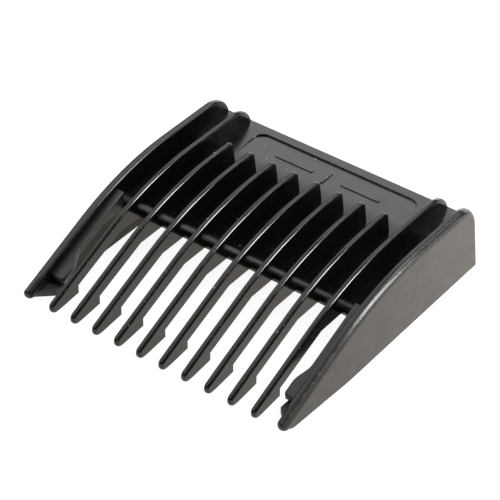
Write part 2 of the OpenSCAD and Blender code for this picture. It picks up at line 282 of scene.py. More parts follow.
class CombLines:
    """The lines that the comb's pieces share, from its sizes."""

    def __init__(self, sizes):
        """Works out where the lines meet."""
        self.s = s = sizes
        self.mid = s.comb_length / 2
        self.slope = math.tan(s.tooth_slope)
        self.lean = math.tan(s.rear_lean)
        self.slope_end = s.crown_y - s.crown_r * math.sin(s.tooth_slope)
        self.lip_y = s.web_front + s.lip_r * (math.sin(s.lip_angle)
                                              - math.sin(s.deck_angle))
        self.lip_z = (s.blade_top + s.web_edge_t
                      + s.lip_r * (math.cos(s.deck_angle)
                                   - math.cos(s.lip_angle)))
        self.bevel_end = (s.blade_front + (s.blade_top - s.blade_edge_h)
                          / math.tan(s.bevel_angle))
        self.rim_rear = self.rear_y(self.deck_z(s.comb_length) + s.rim_h)
        self.rim_y = self.rim_rear - s.rim_run

    def slope_z(self, y, height):
        """Height of a member's straight slope."""
        s = self.s
        return (height - s.crown_r * (1 - math.cos(s.tooth_slope))
                - (self.slope_end - y) * self.slope)

    def rear_y(self, z):
        """Leaning rear edge of the whole comb."""
        return self.s.comb_length - z * self.lean

    def bevel_z(self, y):
        """Top of the blade's ground bevel."""
        return self.s.blade_edge_h + (y - self.s.blade_front) * math.tan(
            self.s.bevel_angle)

    def deck_z(self, y):
        """Straight top of the web and deck."""
        return self.lip_z + (y - self.lip_y) * math.tan(self.s.deck_angle)

    def under_z(self, y):
        """Underside of the deck."""
        return self.s.blade_top + max(0.0, y - self.lip_y) * math.tan(
            self.s.deck_angle)

    def rim_z(self, y):
        """Top of the rim, or of the deck in front of it."""
        rise = self.s.rim_h * max(0.0, y - self.rim_y) / self.s.rim_run
        return self.deck_z(y) + rise

    def lug_top(self, y):
        """Top of the lugs, parallel to the slope of the teeth."""
        return (self.s.blade_edge_h + self.s.lug_t
                + (y - self.s.blade_front) * self.slope)

    def rear_foot(self, top):
        """Point of the rear edge line at the height of a line top(y)."""
        y = self.s.comb_length
        for _ in range(20):
            y = self.rear_y(top(y))
        return y, top(y)

    def wall_y(self, z):
        """Inner face of the rear wall."""
        return self.rear_y(z) - self.s.wall_t / math.cos(self.s.rear_lean)

    def tooth_x(self, number):
        """Place of tooth 1 to 10 across the comb."""
        return (number - 5.5) * self.s.tooth_pitch

    def lip(self, outline, steps):
        """Follows the top of the web from the deck to its front edge."""
        s = self.s
        centre = (self.lip_y + s.lip_r * math.sin(s.deck_angle),
                  self.lip_z - s.lip_r * math.cos(s.deck_angle))
        outline.arc(centre, s.lip_r, math.pi / 2 + s.deck_angle,
                    math.pi / 2 + s.lip_angle, steps)

    def slope_and_crown(self, outline, height, edge):
        """Slope and crown of a tooth or cheek. edge gives the rounding
        radii on its two sides."""
        s = self.s
        outline.arc((s.crown_y, height - s.crown_r), s.crown_r,
                    math.pi / 2 + s.tooth_slope, math.pi / 2, 36, edge)

    def nose(self, outline, height, lift, under, top_r, low_r, radii):
        """Adds a blunt tip, from its underside over the front to the
        slope."""
        lean = self.s.tooth_slope
        top_z = (self.slope_z(0, height)
                 - top_r * (1 / math.cos(lean) - math.tan(lean)))
        low_z = lift + low_r * (math.tan(under) + 1 / math.cos(under))
        steps = 12
        outline.arc((low_r, low_z), low_r, 1.5 * math.pi + under, math.pi,
                    steps, radii)
        outline.arc((top_r, top_z), top_r, math.pi, math.pi / 2 + lean,
                    steps, radii)

    def bulb_r(self, height, lift, under):
        """Radius of the round tip that just fits between slope and
        underside."""
        lean = self.s.tooth_slope
        return (self.slope_z(0, height) - lift) / (
            1 / math.cos(lean) - math.tan(lean)
            + math.tan(under) + 1 / math.cos(under))


# --- modelling helpers ----------------------------------------------------

WELD = 2e-6     # points that are closer than this become one
TOUCH = 1e-6    # slack in asking whether a point lies on a face
SAME = 1e-7     # slack in asking whether two lengths are equal
STEP = 1e-8     # steps below this are left out of an outline

# Ends of cutting solids, past the comb on every side
CUT_REAR, CUT_FRONT, CUT_TOP, CUT_HIGH, CUT_LOW = (
    0.07, -0.01, 0.03, 0.045, -0.06)
CUT_PAST = 0.001


def clear_selection():
    """Deselects everything and leaves edit mode."""
    if bpy.context.object and bpy.context.object.mode != "OBJECT":
        bpy.ops.object.mode_set(mode="OBJECT")
    bpy.ops.object.select_all(action="DESELECT")


def take(piece):
    """Makes a piece the only selected and the active one."""
    clear_selection()
    piece.select_set(True)
    bpy.context.view_layer.objects.active = piece


def side_plane(lines, x):
    """Puts an outline's points on the plane at x."""
    return lambda a, b: Vector((x, a - lines.mid, b))


def draw_face(name, outline, place):
    """Draws an outline point by point from a primitive and fills it."""
    clear_selection()
    bpy.ops.mesh.primitive_plane_add(size=0.001)
    piece = bpy.context.object
    piece.name = piece.data.name = name
    bpy.ops.object.mode_set(mode="EDIT")
    bpy.ops.mesh.select_mode(type="VERT")
    bpy.ops.mesh.select_all(action="SELECT")
    bpy.ops.mesh.merge(type="CENTER")
    corners = [place(a, b) for a, b in outline.points]
    bpy.ops.transform.translate(value=corners[0])
    for here, there in zip(corners, corners[1:]):
        if (there - here).length > STEP:
            bpy.ops.mesh.extrude_region_move(
                TRANSFORM_OT_translate={"value": there - here})
    bpy.ops.mesh.select_all(action="SELECT")
    bpy.ops.mesh.remove_doubles(threshold=WELD)
    bpy.ops.mesh.edge_face_add()
    return piece


def pull(reach):
    """Pulls the filled outline into a solid and turns its faces out."""
    bpy.ops.mesh.extrude_region_move(
        TRANSFORM_OT_translate={"value": reach})
    bpy.ops.mesh.select_all(action="SELECT")
    bpy.ops.mesh.normals_make_consistent(inside=False)
    bpy.ops.object.mode_set(mode="OBJECT")
    if volume(bpy.context.object.data) < 0:
        bpy.ops.object.mode_set(mode="EDIT")
        bpy.ops.mesh.select_all(action="SELECT")
        bpy.ops.mesh.flip_normals()
        bpy.ops.object.mode_set(mode="OBJECT")


def volume(mesh):
    """Volume of a closed mesh, negative where its faces point inwards."""
    total = 0.0
    for face in mesh.polygons:
        first, *rest = [mesh.vertices[i].co for i in face.vertices]
        for one, two in zip(rest, rest[1:]):
            total += first.dot(one.cross(two)) / 6
    return total


def select_edges(piece, chosen):
    """Selects the edges for which chosen(start, end) holds."""
    take(piece)
    bpy.ops.object.mode_set(mode="EDIT")
    bpy.ops.mesh.select_mode(type="EDGE")
    bpy.ops.mesh.select_all(action="DESELECT")
    bpy.ops.object.mode_set(mode="OBJECT")
    mesh = piece.data
    count = 0
    for edge in mesh.edges:
        ends = [mesh.vertices[i].co for i in edge.vertices]
        if chosen(*ends):
            edge.select = True
            count += 1
    bpy.ops.object.mode_set(mode="EDIT")
    return count


def bevel_edges(piece, chosen, radius, segments=4):
    """Bevels the chosen edges."""
    if not select_edges(piece, chosen):
        raise RuntimeError("no edge to bevel on " + piece.name)
    bpy.ops.mesh.bevel(offset=radius, offset_type="OFFSET",
                       segments=segments, affect="EDGES",
                       clamp_overlap=False)
    bpy.ops.object.mode_set(mode="OBJECT")


def apply_modifier(piece, kind, **values):
    """Adds a modifier with its values and applies it."""
    take(piece)
    modifier = piece.modifiers.new(kind.title(), kind)
    for name, value in values.items():
        setattr(modifier, name, value)
    bpy.ops.object.modifier_apply(modifier=modifier.name)


def smooth(piece, degrees=34):
    """Smooth shading that keeps the flat faces flat."""
    take(piece)
    bpy.ops.object.shade_smooth_by_angle(angle=math.radians(degrees))
    apply_modifier(piece, "WEIGHTED_NORMAL", mode="FACE_AREA", weight=90,
                   keep_sharp=True)


def draw_solid(lines, name, outline, start, end, segments=5):
    """Draws an outline at x = start, pulls it across to x = end and rounds
    the edges that have a radius on either side."""
    piece = draw_face(name, outline, side_plane(lines, start))
    pull((end - start, 0, 0))
    count = len(outline.points)
    wanted = {}
    for i, (near, far) in enumerate(outline.radii):
        a, b = outline.points[i], outline.points[(i + 1) % count]
        key = (round((a[0] + b[0]) / 2 - lines.mid, 6),
               round((a[1] + b[1]) / 2, 6))
        wanted[key] = (near, far)
    widest = max(max(pair) for pair in outline.radii)
    if widest <= 0:
        return piece

    def radius_of(p, q):
        """Radius that the edge from p to q is to get."""
        if abs(p.x - q.x) > SAME:
            return 0.0
        middle = (p + q) / 2
        near_side = abs(middle.x - start) < abs(middle.x - end)
        best = 0.0
        for dy in (-TOUCH, 0, TOUCH):
            for dz in (-TOUCH, 0, TOUCH):
                pair = wanted.get((round(middle.y + dy, 6),
                                   round(middle.z + dz, 6)))
                if pair:
                    best = pair[0] if near_side else pair[1]
        return best

    for radius in sorted({r for pair in outline.radii for r in pair if r}):
        if select_edges(piece,
                        lambda p, q: abs(radius_of(p, q) - radius) < SAME):
            bpy.ops.transform.edge_bevelweight(value=radius / widest)
        bpy.ops.object.mode_set(mode="OBJECT")
    apply_modifier(piece, "BEVEL", limit_method="WEIGHT", width=widest,
                   offset_type="OFFSET", segments=segments,
                   use_clamp_overlap=False)
    return piece


def cut_with(piece, cutter, operation):
    """Cuts a piece by another solid, which is then removed."""
    apply_modifier(piece, "BOOLEAN", operation=operation, object=cutter,
                   solver="EXACT")
    bpy.data.objects.remove(cutter)


def weld(piece, distance):
    """Merges the points of a piece that nearly coincide."""
    take(piece)
    bpy.ops.object.mode_set(mode="EDIT")
    bpy.ops.mesh.select_all(action="SELECT")
    bpy.ops.mesh.remove_doubles(threshold=distance)
    bpy.ops.object.mode_set(mode="OBJECT")


def shift(piece, x):
    """Moves a piece across by x and keeps its origin in the middle."""
    take(piece)
    bpy.ops.transform.translate(value=(x, 0, 0))
    bpy.ops.object.transform_apply(location=True, rotation=False,
                                   scale=False)


def slope_underside(lines, piece, x, width, lift, foot_y):
    """Cuts a cheek's underside, which rises toward the tip."""
    outline = Outline()
    outline.to(CUT_REAR, 0)
    outline.to(foot_y, 0)
    outline.to(CUT_FRONT, lift * (1 - CUT_FRONT / foot_y))
    outline.to(CUT_FRONT, CUT_TOP)
    outline.to(CUT_REAR, CUT_TOP)
    under = draw_face("underside", outline,
                      side_plane(lines, x - width))
    pull((2 * width, 0, 0))
    cut_with(piece, under, "INTERSECT")


def round_tip(lines, piece, x, width, height, lift, slope, behind):
    """Gives a tooth or cheek a bulb-shaped tip, whose round sides end at
    the distance behind."""
    spare = 0.00001         # keeps the bulb off the faces behind the tip
    flat = 0.00003          # half the strip that isn't rounded
    under_end = 0.0012      # where the rounding of the underside ends
    height, lift = height + spare, lift - spare
    radius = lines.bulb_r(height, lift, slope)
    side = (width / 2 - flat,) * 2
    outline = Outline()
    outline.to(under_end, lift + under_end * math.tan(slope), side)
    lines.nose(outline, height, lift, slope, radius, radius, side)
    outline.to(behind, lines.slope_z(behind, height), side)
    outline.to(CUT_REAR, CUT_HIGH)
    outline.to(CUT_REAR, CUT_LOW, side)
    bulb = draw_solid(lines, "bulb", outline, x - width / 2 - spare,
                      x + width / 2 + spare, segments=9)
    cut_with(piece, bulb, "INTERSECT")
    weld(piece, 1.5 * WELD)


def finish_piece(piece, slot, material, *nodes):
    """Gives a piece its finish, attaches it to the root body and hides the
    nodes that it stands for.
    """
    piece.data.materials.clear()
    piece.data.materials.append(material)
    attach(piece, "root")
    if nodes:
        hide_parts(*nodes)


def copy_to(piece, name, x):
    """Copies a piece with its own mesh and moves the copy across to x."""
    take(piece)
    bpy.ops.object.duplicate(linked=False)
    twin = bpy.context.object
    twin.name = twin.data.name = name
    shift(twin, x)
    return twin


# --- finishes -------------------------------------------------------------

# Sockets of a Mix node for colours, whose names are used more than once
MIX_FACTOR, MIX_A, MIX_B, MIX_RESULT = 0, 6, 7, 2
BUMP_DEPTH = 0.00002
PIT_DEPTH = 2.4             # as a share of the bump's depth
PIT_SCALE = 2900.0
DUST_DULLS = 0.5            # how much rougher the thickest dust is
DECK_STARTS = (0.0150, 0.0178)  # along Y, behind the short teeth


def add_node(tree, kind, x, y, **values):
    """Adds a node, sets its attributes and places it."""
    made = tree.nodes.new(kind)
    made.location = (x, y)
    for name, value in values.items():
        setattr(made, name, value)
    return made


def feed(tree, source, socket):
    """Links a socket to another one, or gives it a plain value."""
    if isinstance(source, bpy.types.NodeSocket):
        tree.links.new(source, socket)
    else:
        socket.default_value = source


def maths(tree, operation, x, y, *sources, clamp=False):
    """Adds a Math node and returns its result."""
    made = add_node(tree, "ShaderNodeMath", x, y, operation=operation,
                    use_clamp=clamp)
    for source, socket in zip(sources, made.inputs):
        feed(tree, source, socket)
    return made.outputs[0]


def spread(tree, x, y, source, start, end, low=0.0, high=1.0,
           kind="LINEAR"):
    """Adds a Map Range node, which takes start to low and end to high, and
    returns its result."""
    made = add_node(tree, "ShaderNodeMapRange", x, y,
                    interpolation_type=kind)
    for label, value in (("Value", source), ("From Min", start),
                         ("From Max", end), ("To Min", low),
                         ("To Max", high)):
        feed(tree, value, made.inputs[label])
    return made.outputs["Result"]


def noise(tree, x, y, place, scale, detail, roughness=0.5):
    """Adds a Noise Texture node and returns its factor."""
    made = add_node(tree, "ShaderNodeTexNoise", x, y)
    for label, value in (("Vector", place), ("Scale", scale),
                         ("Detail", detail), ("Roughness", roughness)):
        feed(tree, value, made.inputs[label])
    return made.outputs["Fac"]


def object_place(tree, x, y):
    """Adds the place on the comb, in metres from its middle."""
    return add_node(tree, "ShaderNodeTexCoord", x, y).outputs["Object"]


def split_axes(tree, x, y, source):
    """Splits a vector into its X, Y and Z."""
    made = add_node(tree, "ShaderNodeSeparateXYZ", x, y)
    feed(tree, source, made.inputs[0])
    return made.outputs


def mix_colours(tree, x, y, factor, first, second):
    """Mixes two colours."""
    made = add_node(tree, "ShaderNodeMix", x, y, data_type="RGBA")
    feed(tree, factor, made.inputs[MIX_FACTOR])
    feed(tree, first, made.inputs[MIX_A])
    feed(tree, second, made.inputs[MIX_B])
    return made.outputs[MIX_RESULT]


def group_tree(name, inputs, outputs):
    """Starts a shader node group with named inputs and outputs."""
    tree = bpy.data.node_groups.new(name, "ShaderNodeTree")
    for label, default in inputs:
        socket = tree.interface.new_socket(
            name=label, in_out="INPUT", socket_type="NodeSocketFloat")
        socket.default_value = default
    for label in outputs:
        tree.interface.new_socket(name=label, in_out="OUTPUT",
                                  socket_type="NodeSocketFloat")
    return (tree, add_node(tree, "NodeGroupInput", -900, 0).outputs,
            add_node(tree, "NodeGroupOutput", 700, 0).inputs)


def place_group(tree, x, y, group, values):
    """Places a node group with its own values."""
    made = add_node(tree, "ShaderNodeGroup", x, y)
    made.node_tree = group
    for label, value in values.items():
        made.inputs[label].default_value = value
    return made.outputs


def mould_surface():
    """The height of a moulded surface: slow waves from shrinking, the fine
    texture of the tool, and short scratches from use."""
    name = "mould_surface"
    if name in bpy.data.node_groups:
        return bpy.data.node_groups[name]
    tree, given, result = group_tree(
        name,
        [("Wave", 0.3), ("Grain", 0.3), ("Grain Scale", 9000.0),
         ("Scratches", 0.1)],
        ["Height"])
    place = object_place(tree, -1100, 300)
    stretch = add_node(tree, "ShaderNodeMapping", -900, -250)
    stretch.inputs["Rotation"].default_value = (0.2, 0.1, 0.5)
    stretch.inputs["Scale"].default_value = (1.0, 14.0, 6.0)
    feed(tree, place, stretch.inputs["Vector"])
    wave = noise(tree, -700, 400, place, 160.0, 2.0)
    grain = noise(tree, -700, 100, place, given["Grain Scale"], 3.0, 0.6)
    scratch = noise(tree, -700, -250, stretch.outputs["Vector"], 420.0,
                    1.0)
    scratch = spread(tree, -500, -250, scratch, 0.66, 0.72,
                     kind="SMOOTHSTEP")
    wave = maths(tree, "MULTIPLY", -250, 400, wave, given["Wave"])
    grain = maths(tree, "MULTIPLY", -250, 100, grain, given["Grain"])
    scratch = maths(tree, "MULTIPLY", -250, -250, scratch,
                    given["Scratches"])
    raised = maths(tree, "ADD", 0, 200, wave, grain)
    height = maths(tree, "SUBTRACT", 250, 0, raised, scratch)
    feed(tree, height, result["Height"])
    return tree


def handled_gloss():
    """How handling changes the gloss: dull smears, and fine dust."""
    name = "handled_gloss"
    if name in bpy.data.node_groups:
        return bpy.data.node_groups[name]
    tree, given, result = group_tree(
        name,
        [("Roughness", 0.2), ("Smears", 0.05), ("Dust", 0.5),
         ("Dust Scale", 900.0)],
        ["Roughness", "Dust"])
    place = object_place(tree, -1100, 300)
    smear = noise(tree, -700, 300, place, 320.0, 5.0, 0.62)
    smear = spread(tree, -480, 300, smear, 0.35, 0.7, kind="SMOOTHSTEP")
    smear = maths(tree, "MULTIPLY", -250, 300, smear, given["Smears"])
    rough = maths(tree, "ADD", 0, 300, given["Roughness"], smear)
    feed(tree, rough, result["Roughness"])
    cells = add_node(tree, "ShaderNodeTexVoronoi", -700, -150,
                     feature="F1")
    feed(tree, place, cells.inputs["Vector"])
    feed(tree, given["Dust Scale"], cells.inputs["Scale"])
    close = spread(tree, -480, -50, cells.outputs["Distance"], 0.20, 0.08)
    split = add_node(tree, "ShaderNodeSeparateColor", -480, -300)
    feed(tree, cells.outputs["Color"], split.inputs["Color"])
    # Dust lies in the few cells whose random number is high
    rare = maths(tree, "GREATER_THAN", -250, -300, split.outputs["Red"],
                 0.93)
    speck = maths(tree, "MULTIPLY", 0, -100, close, rare)
    dust = maths(tree, "MULTIPLY", 250, -100, speck, given["Dust"])
    feed(tree, dust, result["Dust"])
    return tree


def moulded_plastic(name, colour_value, ior, surface, handling,
                    change=None):
    """A black moulded plastic. surface and handling hold the values of the
    two shared effects. change is a function that alters what goes into the
    shader, for a finish that differs from place to place."""
    if name in bpy.data.materials:
        return bpy.data.materials[name]
    material = bpy.data.materials.new(name)
    material.use_nodes = True
    tree = material.node_tree
    tree.nodes.clear()
    output = add_node(tree, "ShaderNodeOutputMaterial", 700, 0)
    shader = add_node(tree, "ShaderNodeBsdfPrincipled", 400, 0)
    shader.inputs["IOR"].default_value = ior
    gloss = place_group(tree, -500, 0, handled_gloss(), handling)
    relief = place_group(tree, -500, -350, mould_surface(), surface)
    dull = maths(tree, "MULTIPLY", -200, -100, gloss["Dust"], DUST_DULLS)
    look = {"colour": (*colour_value, 1.0), "height": relief["Height"],
            "specular": 0.5,
            "roughness": maths(tree, "ADD", 0, -50, gloss["Roughness"],
                               dull, clamp=True)}
    if change:
        change(tree, look)
    dust = (*bpy.context.scene.comb_finish.dust, 1.0)
    base = mix_colours(tree, 0, 150, gloss["Dust"], look["colour"], dust)
    bump = add_node(tree, "ShaderNodeBump", 100, -350)
    bump.inputs["Distance"].default_value = BUMP_DEPTH
    feed(tree, look["height"], bump.inputs["Height"])
    feed(tree, base, shader.inputs["Base Color"])
    feed(tree, look["roughness"], shader.inputs["Roughness"])
    feed(tree, look["specular"], shader.inputs["Specular IOR Level"])
    feed(tree, bump.outputs["Normal"], shader.inputs["Normal"])
    feed(tree, shader.outputs["BSDF"], output.inputs["Surface"])
    return material


def textured_side(tree, look):
    """The tool's rough texture on the cheeks' outer faces, which shine more
    toward the rear. The inner faces are painted shade: black and dim,
    with the gloss black colour and a low specular level."""
    place = object_place(tree, -1100, -700)
    at = split_axes(tree, -900, -700, place)
    shape = add_node(tree, "ShaderNodeNewGeometry", -1100, -950)
    facing = split_axes(tree, -900, -950, shape.outputs["Normal"])
    side = maths(tree, "SIGN", -700, -700, at["X"])
    outward = maths(tree, "MULTIPLY", -500, -850, side, facing["X"])
    # The texture fades in where the rounded edge turns outward
    mask = spread(tree, -300, -850, outward, 0.58, 0.98,
                  kind="SMOOTHSTEP")
    depth = maths(tree, "MULTIPLY", -100, -850, mask, PIT_DEPTH)
    pits = noise(tree, -500, -600, place, PIT_SCALE, 2.0)
    pits = maths(tree, "MULTIPLY", -100, -700, depth, pits)
    look["height"] = maths(tree, "ADD", 0, -500, look["height"], pits)
    rougher = maths(tree, "MULTIPLY", 100, -850, mask, 0.13)
    look["roughness"] = maths(tree, "ADD", 200, -50, look["roughness"],
                              rougher, clamp=True)
    # Specular level: low on the inner face as painted shade, higher on top,
    # and on the outer face with a share that grows along the cheek
    inner = spread(tree, 200, -300, outward, -0.9, -0.4, 0.15, 0.32)
    shine = spread(tree, -300, -1150, at["Y"], -0.022, 0.024, 0.02, 0.54)
    outer = maths(tree, "MULTIPLY", 0, -1050, shine, mask)
    look["specular"] = maths(tree, "ADD", 300, -500, inner, outer)
    # Painted shade: the inner faces take the darker gloss black in place of
    # the satin colour
    outside = spread(tree, -500, 250, outward, -0.9, -0.4)
    black = (*bpy.context.scene.comb_finish.black, 1.0)
    look["colour"] = mix_colours(tree, -250, 250, outside, black,
                                 look["colour"])


def duller_deck(tree, look):
    """The duller, paler finish of the deck behind the teeth."""
    finish = bpy.context.scene.comb_finish
    at = split_axes(tree, -900, -700, object_place(tree, -1100, -700))
    rougher = spread(tree, -600, -700, at["Y"], *DECK_STARTS, 0.0,
                     finish.deck_rough - finish.web_rough,
                     kind="SMOOTHSTEP")
    look["roughness"] = maths(tree, "ADD", 200, -50, look["roughness"],
                              rougher, clamp=True)
    look["specular"] = spread(tree, -600, -1000, at["Y"], *DECK_STARTS,
                              0.32, 0.56, kind="SMOOTHSTEP")


def tooth_finish():
    """Polished plastic of the teeth and guide ribs."""
    finish = bpy.context.scene.comb_finish
    return moulded_plastic(
        "tooth_polish", finish.black, 1.47,
        {"Wave": 1.2, "Grain": 0.06, "Grain Scale": 9000.0,
         "Scratches": 0.15},
        {"Roughness": finish.tooth_rough, "Smears": 0.05, "Dust": 0.55})


def deck_finish():
    """Gloss of the web and the deck, which is duller behind the teeth."""
    finish = bpy.context.scene.comb_finish
    return moulded_plastic(
        "deck_gloss", finish.black, 1.66,
        {"Wave": 1.1, "Grain": 0.15, "Grain Scale": 8000.0,
         "Scratches": 0.15},
        {"Roughness": finish.web_rough, "Smears": 0.07, "Dust": 0.5},
        duller_deck)


def cheek_finish():
    """Satin plastic of the cheeks, textured on their outer faces."""
    finish = bpy.context.scene.comb_finish
    return moulded_plastic(
        "cheek_satin", finish.satin_black, 1.6,
        {"Wave": 0.8, "Grain": 0.25, "Grain Scale": 9000.0,
         "Scratches": 0.15},
        {"Roughness": finish.cheek_rough, "Smears": 0.06, "Dust": 0.6},
        textured_side)


def lug_finish():
    """Satin plastic of the lugs, feet, wall and catch."""
    finish = bpy.context.scene.comb_finish
    return moulded_plastic(
        "lug_satin", finish.satin_black, 1.52,
        {"Wave": 0.8, "Grain": 0.35, "Grain Scale": 8000.0,
         "Scratches": 0.1},
        {"Roughness": finish.lug_rough, "Smears": 0.06, "Dust": 0.5})


# --- operators ------------------------------------------------------------

FLOOR_SIZE = 6.0
LAMP_POWER = 4.0            # watts for each square metre at level 1
SENSOR_WIDTH = 36.0         # millimetres
CLIP_RANGE = (0.01, 50.0)
CAP_SHARE = 0.7             # a figure's height as a share of the font size


class PieceMaker:
    """What the operators share: the sizes and the lines of the comb."""
    bl_options = {"REGISTER", "UNDO"}

    def execute(self, context):
        """Makes the pieces of this operator."""
        sizes = context.scene.comb_sizes
        self.make(context, sizes, CombLines(sizes))
        return {"FINISHED"}


class COMB_OT_stage(PieceMaker, bpy.types.Operator):
    """Sets up the floor, the lamps and the camera"""
    bl_idname = "comb.stage"
    bl_label = "Stage"

    def make(self, context, s, lines):
        """Floor, world, lamps and camera."""
        stage = context.scene.comb_stage
        self.floor(stage)
        world = bpy.data.worlds.new("plain_surroundings")
        context.scene.world = world
        world.use_nodes = True
        # The camera sees white, while the comb gets only a weak plain light
        tree = world.node_tree
        sky = tree.nodes["Background"]
        path = add_node(tree, "ShaderNodeLightPath", -700, 0)
        level = spread(tree, -400, 0, path.outputs["Is Camera Ray"],
                       0.0, 1.0, stage.world, 1.0)
        feed(tree, level, sky.inputs["Strength"])
        feed(tree, (*PLAIN, 1), sky.inputs["Color"])
        # Name, azimuth from the rear, height as an angle, distance, width,
        # height, level, colour
        for lamp in (
                ("back_softbox", -37, 40, 1.6, 0.95, 0.8, 1.2, COOL),
                ("backdrop", -15, 10, 1.6, 1.7, 0.5, 2.4, PLAIN),
                ("right_strip", 63, 41, 1.6, 0.36, 1.05, 23.0, PLAIN),
                ("back_right_box", 18, 54, 1.6, 0.26, 0.46, 9.0, PLAIN),
                ("front_left_box", -150, 42, 1.5, 0.4, 0.35, 5.5, PLAIN),
                ("left_sheet", -95, 48, 1.5, 1.4, 1.3, 1.15, COOL),
                ("overhead", -40, 84, 1.5, 0.8, 0.8, 0.9, COOL)):
            self.lamp(*lamp)
        context.scene.view_settings.view_transform = "Standard"
        self.camera(context, stage)

    def floor(self, stage):
        """A plain pale floor, white to the camera and clear from
        below."""
        clear_selection()
        bpy.ops.mesh.primitive_plane_add(size=FLOOR_SIZE,
                                         location=(0, 0, 0))
        floor = bpy.context.object
        floor.name = "floor"
        material = bpy.data.materials.new("pale_floor")
        material.use_nodes = True
        tree = material.node_tree
        tree.nodes.clear()
        path = add_node(tree, "ShaderNodeLightPath", -800, 200).outputs
        seen = maths(tree, "MAXIMUM", -550, 250, path["Is Camera Ray"],
                     path["Is Glossy Ray"])
        seen = maths(tree, "MAXIMUM", -380, 200, seen,
                     path["Is Transmission Ray"])
        glow = add_node(tree, "ShaderNodeEmission", 0, 100)
        feed(tree, mix_colours(tree, -300, 400, path["Is Camera Ray"],
                               (*WARM, 1), (*PLAIN, 1)),
             glow.inputs["Color"])
        feed(tree, maths(tree, "MULTIPLY", -200, 150, seen,
                         stage.floor_glow), glow.inputs["Strength"])
        matt = add_node(tree, "ShaderNodeBsdfDiffuse", 0, -150)
        feed(tree, (stage.floor_albedo,) * 3 + (1,), matt.inputs["Color"])
        both = add_node(tree, "ShaderNodeAddShader", 300, 0)
        feed(tree, glow.outputs[0], both.inputs[0])
        feed(tree, matt.outputs[0], both.inputs[1])
        shape = add_node(tree, "ShaderNodeNewGeometry", 100, 300)
        clear = add_node(tree, "ShaderNodeBsdfTransparent", 300, -200)
        sided = add_node(tree, "ShaderNodeMixShader", 450, 0)
        feed(tree, shape.outputs["Backfacing"], sided.inputs[0])
        feed(tree, both.outputs[0], sided.inputs[1])
        feed(tree, clear.outputs[0], sided.inputs[2])
        output = add_node(tree, "ShaderNodeOutputMaterial", 600, 0)
        feed(tree, sided.outputs[0], output.inputs["Surface"])
        floor.data.materials.append(material)

    def lamp(self, name, turn, rise, distance, width, height, level,
             tint):
        """A soft lamp that looks at the comb from a direction."""
        turn, rise = math.radians(turn), math.radians(rise)
        away = Vector((math.sin(turn) * math.cos(rise),
                       math.cos(turn) * math.cos(rise), math.sin(rise)))
        clear_selection()
        bpy.ops.object.light_add(
            type="AREA", location=away * distance,
            rotation=away.to_track_quat("Z", "Y").to_euler())
        lamp = bpy.context.object
        lamp.name = name
        lamp.data.shape = "RECTANGLE"
        lamp.data.size = width
        lamp.data.size_y = height
        lamp.data.energy = LAMP_POWER * width * height * level
        lamp.data.color = tint
        lamp.visible_camera = False

    def camera(self, context, stage):
        """The camera of the photograph."""
        turn, rise = stage.azimuth, stage.elevation
        back = Vector((math.sin(turn) * math.cos(rise),
                       -math.cos(turn) * math.cos(rise), math.sin(rise)))
        right = Vector((math.cos(turn), math.sin(turn), 0))
        up = back.cross(right)
        roll = stage.roll
        across = right * math.cos(roll) + up * math.sin(roll)
        top = up * math.cos(roll) - right * math.sin(roll)
        clear_selection()
        bpy.ops.object.camera_add()
        camera = context.object
        camera.name = "photo_camera"
        placed = Matrix((across, top, back)).transposed().to_4x4()
        placed.translation = Vector(stage.camera_place)
        camera.matrix_world = placed
        camera.data.lens = stage.lens
        camera.data.sensor_width = SENSOR_WIDTH
        camera.data.clip_start, camera.data.clip_end = CLIP_RANGE
        context.scene.camera = camera


